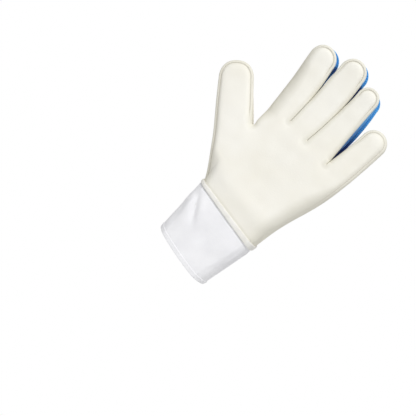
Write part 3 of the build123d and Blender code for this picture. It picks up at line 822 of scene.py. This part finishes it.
def ring(shares, grows, columns=COLUMNS, folds=None, closed=False, lift=None):
    """A surface carried round the cuff: each (share, grow) pair of the profile is one row. Returns vertices,
    quads and UV (way round, way along the profile), in millimetres."""
    theta = np.linspace(0, 2 * math.pi, columns + 1)
    rows = []
    for i, (share, grow) in enumerate(zip(shares, grows)):
        share, grow = np.broadcast_to(share, theta.shape), np.broadcast_to(grow, theta.shape)
        extra = folds(theta, share) if folds else 0.0
        extra = extra * (lift[i] if lift is not None else 1.0)
        rows.append(cuff_at(theta, share, grow + extra))
    verts = np.array(rows)
    verts[:, -1] = verts[:, 0]
    round_way = np.concatenate([[0], np.cumsum(np.linalg.norm(np.diff(verts[0], axis=0), axis=1))])
    profile = np.array([(np.mean(s) * CUFF_LENGTH, np.mean(g)) for s, g in zip(shares, grows)])
    along = np.concatenate([[0], np.cumsum(np.linalg.norm(np.diff(profile, axis=0), axis=1))])
    uv = np.stack(np.broadcast_arrays(round_way[None], along[:, None]), -1)
    count = columns + 1
    last = len(rows) if closed else len(rows) - 1
    i, j = np.meshgrid(np.arange(last), np.arange(columns), indexing="ij")
    k = (i + 1) % len(rows)
    quads = np.stack([i * count + j, k * count + j, k * count + j + 1, i * count + j + 1], -1).reshape(-1, 4)
    return verts.reshape(-1, 3), quads, uv.reshape(-1, 2)


def settle(piece, merge=0.00005):
    """Merges the doubled column and points all faces outwards."""
    mesh = bmesh.new()
    mesh.from_mesh(piece.data)
    bmesh.ops.remove_doubles(mesh, verts=mesh.verts, dist=merge)
    bmesh.ops.recalc_face_normals(mesh, faces=mesh.faces)
    mesh.to_mesh(piece.data)
    mesh.free()
    return piece


# The profile goes down the outside, closer together below the welt, round the rim and up the inside
outside = np.concatenate([np.linspace(1.0, 0.86, 26), np.linspace(0.85, 0.012, 62)])
turn = np.linspace(0, math.pi, 9)[1:-1]
inside = np.linspace(0.012, 1.0, 40)
shares = np.concatenate([outside, 0.012 - 0.016 * np.sin(turn), inside])
grows = np.concatenate([0 * outside, -CUFF_WALL / 2 * (1 - np.cos(turn)), 0 * inside - CUFF_WALL])
lift = np.concatenate([np.ones(len(outside) + len(turn)), np.full(len(inside), 0.9)])
verts, faces, uv = ring(shares, grows, folds=cuff_folds, closed=True, lift=lift)
theta = np.tile(np.linspace(0, 2 * math.pi, COLUMNS + 1), len(shares))
for name, low, high in (("cuff_front", math.pi, 2 * math.pi), ("cuff_back", 0, math.pi)):
    middle = theta[faces[:, 0]] + math.pi / COLUMNS
    chosen = faces[(middle > low) & (middle < high)]
    used, index = np.unique(chosen, return_inverse=True)
    piece = add_piece(f"{name}_jersey", verts[used], index.reshape(-1, 4), jersey, "cuff_neoprene",
                      cut=uv[used])
    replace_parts(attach(piece, "hand"), name)


# ---------------------------------------------------------------------------------------------------
# Welt and rim. A folded tape covers the seam between palm and cuff, and the rim is turned up in a
# narrow hem held by a line of small stitches.
# ---------------------------------------------------------------------------------------------------
# The tape's cords are 0.4 mm apart in life and drawn at 0.9 mm.
tape, tree, shader = new_material("cotton_binding_tape", "EFEEE9", 0.85, 0.2, 0.15)
cut = uv_parts(tree, "cut")
cord = node(tree, "ShaderNodeMapRange", {0: (ribs(tree, cut, 0, 0.9), 0)}, in1=-1.0, in2=1.0)
_, tone = mottle(tree, "E8E6DF", "F3F2EE", 80.0, 3.0)
raised = node(tree, "ShaderNodeBump", {"Height": (cord, 0)}, Distance=0.0001)
connect(tree, shader, {"Base Color": (tone, 0), "Normal": (raised, 0)})


def tape_ring(name, low, high, inner, stand, material, slot, *replaced):
    """A tape round the cuff between two shares of its length, standing stand high from inner: a superellipse
    carried round. Each measure is a number, or one for each column."""
    a = np.linspace(0, 2 * math.pi, 20, endpoint=False)
    across = np.sign(np.cos(a)) * np.abs(np.cos(a)) ** 0.55
    up = np.sign(np.sin(a)) * np.abs(np.sin(a)) ** 0.55
    shares = [(low + high) / 2 + (high - low) / 2 * v for v in across]
    grows = [inner + stand / 2 + stand / 2 * v for v in up]
    verts, faces, uv = ring(shares, grows, closed=True,
                            folds=lambda theta, share: waves(40 * np.cos(theta), 40 * np.sin(theta), 5, 0.15))
    piece = settle(add_piece(name, verts, faces, material, slot, cut=uv))
    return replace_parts(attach(piece, "hand"), *replaced)


round_cuff = np.linspace(0, 2 * math.pi, COLUMNS + 1)
welt_stand = 0.95 + 1.3 * np.abs(np.sin(round_cuff)) ** 0.7
tape_ring("seam_welt_tape", 1 - welt_height(round_cuff) / CUFF_LENGTH, 1.004, -0.7, welt_stand, tape,
          "binding_tape", "seam_welt")
tape_ring("rim_binding_hem", -0.004, 4.3 / CUFF_LENGTH, -0.5, 1.0, jersey, "binding_tape", "rim_binding")

# Bright spun polyester; its twist shows as flecks 0.4 mm long.
thread, tree, shader = new_material("polyester_thread", "F3F3F3", 0.6, 0.4)
_, tone = mottle(tree, "DCDCDC", "F8F8F8", 2500.0, 1.0)
connect(tree, shader, {"Base Color": (tone, 0)})


def stitches(name, starts, ends, radius, outward):
    """Short raised threads, each a five-sided spindle that swells from both ends, from starts to ends."""
    starts, ends, outward = (np.asarray(v, float) for v in (starts, ends, outward))
    along = ends - starts
    along /= np.linalg.norm(along, axis=1)[:, None]
    across = np.cross(along, outward)
    across /= np.linalg.norm(across, axis=1)[:, None]
    up = np.cross(across, along)
    q, fat = np.array([(0, 0.05), (0.12, 0.75), (0.4, 1), (0.6, 1), (0.88, 0.75), (1, 0.05)]).T
    a = np.arange(5) * 2 * math.pi / 5
    circle = across[:, None] * np.cos(a)[:, None] + up[:, None] * np.sin(a)[:, None]
    centre = starts[:, None] + (ends - starts)[:, None] * q[:, None]
    verts = centre[:, :, None] + circle[:, None] * (radius * fat)[:, None, None]
    i, j = np.meshgrid(np.arange(5), np.arange(5), indexing="ij")
    k = (j + 1) % 5
    quad = np.stack([i * 5 + j, i * 5 + k, (i + 1) * 5 + k, (i + 1) * 5 + j], -1).reshape(-1, 4)
    faces = (quad[None] + 30 * np.arange(len(starts))[:, None, None]).reshape(-1, 4)
    return settle(add_piece(name, verts.reshape(-1, 3), faces, thread, "binding_tape"), 1e-6)


def outward_at(theta, share):
    """The cuff's outward direction."""
    d = cuff_at(theta, share, 1.0) - cuff_at(theta, share, 0.0)
    return d / np.linalg.norm(d, axis=-1)[..., None]


beads = np.linspace(0, 2 * math.pi, 88, endpoint=False)
half, share, height = 0.0125, 3.4 / CUFF_LENGTH, 0.62
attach(stitches("rim_stitches", cuff_at(beads - half, share, height), cuff_at(beads + half, share, height),
                 0.28, outward_at(beads, share)), "hand")


# ---------------------------------------------------------------------------------------------------
# Wrist strap. White woven elastic, sewn down on the little finger's side of the back, with moulded
# hooks under its end and a rubber pull tab. It closes on a brushed loop panel sewn to the cuff.
# ---------------------------------------------------------------------------------------------------
polar_theta = np.linspace(-0.3, math.pi + 0.6, 400)
middle_point = cuff_at(polar_theta, 0.5)
polar_angle = np.unwrap(np.arctan2(middle_point[:, 1], middle_point[:, 0] - (SEAM_SHIFT + RIM_SHIFT) / 2))


def theta_at(degrees):
    """The section's own angle at a plain angle about the cuff's centre line."""
    return np.interp(math.radians(degrees), polar_angle, polar_theta)


def anchor_top(theta):
    """Outside height of the strap's sewn end: thin where it starts, thick where it covers the strap."""
    return 0.75 + 3.6 * smooth(theta, theta_at(20), theta_at(31))


def band(start, end, low, high, inner, outer, columns=70, ridge=None):
    """A flat band on the back of the cuff from angle start to end: a superellipse carried round, whose ends
    shrink to a closed edge. With no outer height it is as thick as the strap's sewn end, and ridge gives the
    height of ribs across it."""
    a = np.linspace(0, 2 * math.pi, 28, endpoint=False)
    across = np.sign(np.cos(a)) * np.abs(np.cos(a)) ** 0.3
    up = np.sign(np.sin(a)) * np.abs(np.sin(a)) ** 0.7
    q = np.linspace(0, 1, columns)
    q = np.concatenate([[0, 0.0015, 0.004, 0.008], q[1:-1] * 0.98 + 0.01, [0.992, 0.996, 0.9985, 1]])
    fat = np.ones(len(q))
    fat[:4], fat[-4:] = (0.0, 0.55, 0.85, 0.97), (0.97, 0.85, 0.55, 0.0)
    theta = theta_at(start) + (theta_at(end) - theta_at(start)) * q
    share = (low + high) / 2 + (high - low) / 2 * across[None] * (0.985 + 0.015 * fat[:, None])
    top = (anchor_top(theta) if outer is None else np.full(len(q), float(outer)))[:, None]
    grow = (inner + top) / 2 + (top - inner) / 2 * up[None] * fat[:, None]
    if ridge:
        grow = grow + ridge(q)[:, None] * np.maximum(0, up)[None]
    grow = grow + cuff_folds(theta[:, None], np.clip(share, 0, 1))
    verts = cuff_at(theta[:, None], share, grow)
    count = len(a)
    i, j = np.meshgrid(np.arange(len(q) - 1), np.arange(count), indexing="ij")
    k = (j + 1) % count
    quads = np.stack([i * count + j, (i + 1) * count + j, (i + 1) * count + k, i * count + k], -1)
    length = np.concatenate([[0], np.cumsum(np.linalg.norm(np.diff(verts[:, 7], axis=0), axis=1))])
    uv = np.stack(np.broadcast_arrays(length[:, None], share * CUFF_LENGTH), -1)
    return verts.reshape(-1, 3), quads.reshape(-1, 4), uv.reshape(-1, 2)


# Elastic: ribs run along the strap, 0.8 mm apart in life and drawn at 1.4 mm, with the weft across them.
elastic, tree, shader = new_material("woven_elastic", "EEEEEF", 0.7, 0.3, 0.1)
cut = uv_parts(tree, "cut")
weft = node(tree, "ShaderNodeMath", {0: (ribs(tree, cut, 0, 0.8), 0)}, operation="MULTIPLY", in1=0.3)
weave = node(tree, "ShaderNodeMath", {0: (ribs(tree, cut, 1, 1.4), 0), 1: (weft, 0)}, operation="ADD")
weave = node(tree, "ShaderNodeMapRange", {0: (weave, 0)}, in1=-1.3, in2=1.3)
# Painted shade: the weave's low parts are darker, DADADC, as shade in them
tone = node(tree, "ShaderNodeValToRGB", {"Fac": (weave, 0)}, ((0.2, "DADADC"), (0.6, "F3F3F4")))
raised = node(tree, "ShaderNodeBump", {"Height": (weave, 0)}, Distance=0.00025)
connect(tree, shader, {"Base Color": (tone, 0), "Normal": (raised, 0)})

# Loop pile: brushed nylon, navy and lightless, its tufts drawn at 0.9 mm.
pile, tree, shader = new_material("brushed_nylon_loop", "1C2F5E", 0.95, 0.1, 0.6, 0.6)
fuzz, tone = mottle(tree, "0F1D42", "2B4480", 1100.0, 4.0)
raised = node(tree, "ShaderNodeBump", {"Height": (fuzz, 0)}, Distance=0.0006)
connect(tree, shader, {"Base Color": (tone, 0), "Normal": (raised, 0)})

# Hooks: moulded clear nylon, a row of stubs 1.1 mm apart with grey between them.
hooks, tree, shader = new_material("moulded_nylon_hook", "DADDE0", 0.5, 0.4)
place = node(tree, "ShaderNodeTexCoord")
cells = node(tree, "ShaderNodeTexVoronoi", {"Vector": (place, "Object")}, Scale=900.0, Randomness=0.2)
tone = node(tree, "ShaderNodeValToRGB", {"Fac": (cells, 0)}, ((0.1, "F2F4F6"), (0.6, "A9AEB4")))
raised = node(tree, "ShaderNodeBump", {"Height": (cells, 0)}, Distance=0.0005)
connect(tree, shader, {"Base Color": (tone, 0), "Normal": (raised, 0)})

# Rubber: moulded, with the half gloss of a spark-etched mould, 0.7 mm in grain.
rubber, tree, shader = new_material("moulded_soft_rubber", "2A6FD0", 0.55, 0.4)
etch, tone = mottle(tree, "2566C2", "3579DC", 1500.0, 2.0)
rough = node(tree, "ShaderNodeMapRange", {0: (etch, 0)}, in3=0.45, in4=0.65)
raised = node(tree, "ShaderNodeBump", {"Height": (etch, 0)}, Distance=0.0001)
connect(tree, shader, {"Base Color": (tone, 0), "Roughness": (rough, 0), "Normal": (raised, 0)})

# Each band has its start and end angle, its low and high share of the cuff, and its inner and outer height.
LOW, HIGH, PATCH_LOW, PATCH_HIGH = 0.20, 0.82, 0.25, 0.77
verts, faces, uv = band(62, 145, LOW + 0.03, HIGH - 0.03, 0.05, 0.85)
piece = settle(add_piece("loop_panel_pile", verts, faces, pile, "loop_pile", cut=uv))
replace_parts(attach(piece, "hand"), "loop_panel")
verts, faces, uv = band(108, 145, PATCH_LOW, PATCH_HIGH, 1.1, 1.75)
piece = settle(add_piece("hook_patch_hooks", verts, faces, hooks, "hook_tape", cut=uv))
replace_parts(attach(piece, "strap"), "hook_patch")
verts, faces, uv = band(30, 146, LOW, HIGH, 1.8, 3.9, columns=110)
strap = settle(add_piece("wrist_strap_elastic", verts, faces, elastic, "strap_elastic", cut=uv))
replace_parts(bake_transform(strap), "wrist_strap")
verts, faces, uv = band(143.5, 160, PATCH_LOW, PATCH_HIGH, 1.9, 3.7,
                        ridge=lambda q: 0.5 * np.maximum(0, np.sin(q * 2 * math.pi * 5)) * (q > 0.25))
piece = settle(add_piece("pull_tab_rubber", verts, faces, rubber, "tab_rubber", cut=uv))
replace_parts(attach(piece, "strap"), "pull_tab")
verts, faces, uv = band(14, 37.2, LOW - 0.01, HIGH + 0.01, 0.1, None, columns=40)
piece = settle(add_piece("strap_anchor_elastic", verts, faces, elastic, "strap_elastic", cut=uv))
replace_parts(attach(piece, "hand"), "strap_anchor")


def sewn_line(start, end, low, high, step=2.6, cover=0.7):
    """Ends of the stitches on a straight seam between two (angle, share) points of the strap's sewn end, one
    every step millimetres, of which it covers a share."""
    start, end = theta_at(start), theta_at(end)
    count = max(2, int(np.linalg.norm(cuff_at(end, high) - cuff_at(start, low)) / step))

    def on_top(q):
        theta, share = start + (end - start) * q, low + (high - low) * q
        return cuff_at(theta, share, anchor_top(theta) + cuff_folds(theta, share)), outward_at(theta, share)

    q = np.arange(count) / count
    starts, outward = on_top(q)
    return starts, on_top(q + cover / count)[0], outward


seams = [sewn_line(17, 35, 0.23, 0.23), sewn_line(17, 35, 0.79, 0.79), sewn_line(17, 17, 0.23, 0.79),
         sewn_line(35, 35, 0.23, 0.79), sewn_line(17, 35, 0.23, 0.79), sewn_line(35, 17, 0.23, 0.79)]
starts, ends, up = (np.concatenate([s[k] for s in seams]) for k in range(3))
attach(stitches("anchor_stitches", starts, ends, 0.26, up), "hand")


# ---------------------------------------------------------------------------------------------------
# Label. A short loop of white polyester satin ribbon, sewn inside the cuff at the seam and left blank. Its
# long floats give it a soft shine.
# ---------------------------------------------------------------------------------------------------
satin, tree, shader = new_material("satin_ribbon", "F2F2F2", 0.4, 0.5, 0.2)
floats, tone = mottle(tree, "E4E4E6", "F8F8F8", 400.0, 2.0)
raised = node(tree, "ShaderNodeBump", {"Height": (floats, 0)}, Distance=0.00008)
connect(tree, shader, {"Base Color": (tone, 0), "Normal": (raised, 0)})
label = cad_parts["care_label"]
label.data.materials.clear()
label.data.materials.append(satin)


# ---------------------------------------------------------------------------------------------------
# Studio. A pale paper floor well below the glove, a white surround, one large soft light above the palm
# side, a weak one from the little finger's side and one behind.
# ---------------------------------------------------------------------------------------------------
floor_mesh = bpy.data.meshes.new("floor")
a = np.linspace(0, 2 * math.pi, 96, endpoint=False)
disc = np.stack([1.6 * np.cos(a), 1.6 * np.sin(a), np.full(96, -0.75)], 1)
floor_mesh.from_pydata(disc.tolist(), [], [list(range(96))])
paper, _, _ = new_material("white_paper_floor", "F7F7F7", 0.9, 0.1)
floor_mesh.materials.append(paper)
floor = bpy.data.objects.new("floor", floor_mesh)
bpy.context.scene.collection.objects.link(floor)
floor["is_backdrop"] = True

bpy.context.scene.view_settings.view_transform = "Standard"
world = bpy.data.worlds.new("studio")
bpy.context.scene.world = world
world.use_nodes = True
tree = world.node_tree
path = node(tree, "ShaderNodeLightPath")
strength = node(tree, "ShaderNodeMapRange", {0: (path, "Is Camera Ray")}, in3=0.5, in4=1.0)
connect(tree, tree.nodes["Background"], {"Strength": (strength, 0)})
tree.nodes["Background"].inputs["Color"].default_value = (1, 1, 1, 1)


def area_light(name, place, aim, size, power):
    """A square soft light at place that looks at aim, in metres."""
    data = bpy.data.lights.new(name, "AREA")
    data.energy, data.size = power, size
    made = bpy.data.objects.new(name, data)
    made.location = place
    made.rotation_euler = (Vector(aim) - Vector(place)).to_track_quat("-Z", "Y").to_euler()
    bpy.context.scene.collection.objects.link(made)
    return made


area_light("key", (-0.1, -1.7, 2.3), (0, 0, 0.13), 1.2, 46.0)
area_light("fill", (1.6, -1.6, 0.3), (0, 0, 0.13), 1.2, 5.5)
area_light("back_fill", (0.3, 1.6, 0.6), (0, 0, 0.13), 1.2, 10.0)

# The camera looks at the palm from a little towards the little finger and above, turned 45 degrees so that
# the fingers point up and to the right. At this distance the view is 416 mm wide.
aim = Vector((-0.0136, -0.021, 0.0533))
azimuth, elevation, distance, view_width = math.radians(9.0), math.radians(5.0), 1.8, 0.416
back = Vector((math.sin(azimuth) * math.cos(elevation), -math.cos(azimuth) * math.cos(elevation),
               math.sin(elevation)))
level = back.cross(Vector((0, 0, 1))).normalized() * -1
upright = back.cross(level)
right, up = (level + upright).normalized(), (upright - level).normalized()
camera_data = bpy.data.cameras.new("camera")
camera_data.sensor_width = 36.0
camera_data.lens = camera_data.sensor_width * distance / view_width
camera = bpy.data.objects.new("camera", camera_data)
turned = Matrix((right, up, back)).transposed().to_4x4()
turned.translation = aim + back * distance
camera.matrix_world = turned
bpy.context.scene.collection.objects.link(camera)
bpy.context.scene.camera = camera

low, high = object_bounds()
